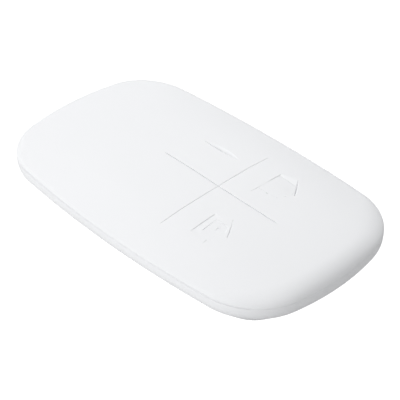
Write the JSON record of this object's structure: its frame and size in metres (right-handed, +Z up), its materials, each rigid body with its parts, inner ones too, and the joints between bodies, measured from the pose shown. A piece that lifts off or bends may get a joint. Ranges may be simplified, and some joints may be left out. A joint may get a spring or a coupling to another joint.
{
  "type": "alarm remote control",
  "caption": "Pocket alarm remote: domed white rounded-rectangle housing, square push keys round an engraved cross, sunken house and bar symbols, turn-off coin cell door underneath.",
  "frame": {"origin": "middle of the underside, on the plane the remote lies on", "axes": "+X along the length towards the end with the keys, +Y across the width, +Z up out of the keys"},
  "size_m": [0.064, 0.0392, 0.0104],
  "materials": {
    "white_shell": "satin, fine moulded texture",
    "white_door": "satin",
    "white_key": "satin, fine moulded texture",
    "seal_rubber": "matte silicone rubber",
    "screw_steel": "zinc plated",
    "board_laminate": "solder resist over glass laminate",
    "chip_black": "moulded epoxy",
    "crystal_can": "drawn can",
    "led_clear": "clear polycarbonate",
    "capacitor_ceramic": "fired ceramic",
    "antenna_metal": "bare wire",
    "cell_steel": "nickel plated",
    "gasket_plastic": "moulded seal",
    "holder_plastic": "moulded",
    "contact_nickel": "sprung nickel-plated strip",
    "plunger_plastic": "moulded"
  },
  "bodies": {
    "housing": {"top_cover": "white_shell", "back_cover": "white_shell", "case_seal": "seal_rubber", "case_screws": "screw_steel", "circuit_board": "board_laminate", "controller_chip": "chip_black", "radio_chip": "chip_black", "radio_crystal": "crystal_can", "status_led": "led_clear", "light_pipe": "led_clear", "chip_capacitors": "capacitor_ceramic", "chip_resistors": "chip_black", "antenna_wire": "antenna_metal", "cell_can": "cell_steel", "cell_cap": "cell_steel", "cell_gasket": "gasket_plastic", "battery_holder": "holder_plastic", "positive_contact": "contact_nickel", "negative_contact": "contact_nickel", "away_switch_base": "holder_plastic", "away_switch_plate": "contact_nickel", "away_switch_dome": "contact_nickel", "home_switch_base": "holder_plastic", "home_switch_plate": "contact_nickel", "home_switch_dome": "contact_nickel", "disarm_switch_base": "holder_plastic", "disarm_switch_plate": "contact_nickel", "disarm_switch_dome": "contact_nickel", "alert_switch_base": "holder_plastic", "alert_switch_plate": "contact_nickel", "alert_switch_dome": "contact_nickel"},
    "door": {"battery_door": "white_door", "door_seal": "seal_rubber"},
    "away_button": {"away_key": "white_key", "away_switch_plunger": "plunger_plastic"},
    "home_button": {"home_key": "white_key", "home_switch_plunger": "plunger_plastic"},
    "disarm_button": {"disarm_key": "white_key", "disarm_switch_plunger": "plunger_plastic"},
    "alert_button": {"alert_key": "white_key", "alert_switch_plunger": "plunger_plastic"}
  },
  "joints": [
    {"name": "door_turn", "type": "hinge", "parent": "housing", "child": "door", "pos_m": [-0.0115, 0, 0], "axis": [0, 0, 1], "range_deg": [-40, 0]},
    {"name": "away_press", "type": "slide", "parent": "housing", "child": "away_button", "axis": [0, 0, -1], "range_m": [0, 0.00025], "stiffness_N_per_m": 4000, "deforming": ["away_switch_dome"]},
    {"name": "home_press", "type": "slide", "parent": "housing", "child": "home_button", "axis": [0, 0, -1], "range_m": [0, 0.00025], "stiffness_N_per_m": 4000, "deforming": ["home_switch_dome"]},
    {"name": "disarm_press", "type": "slide", "parent": "housing", "child": "disarm_button", "axis": [0, 0, -1], "range_m": [0, 0.00025], "stiffness_N_per_m": 4000, "deforming": ["disarm_switch_dome"]},
    {"name": "alert_press", "type": "slide", "parent": "housing", "child": "alert_button", "axis": [0, 0, -1], "range_m": [0, 0.00025], "stiffness_N_per_m": 4000, "deforming": ["alert_switch_dome"]}
  ]
}
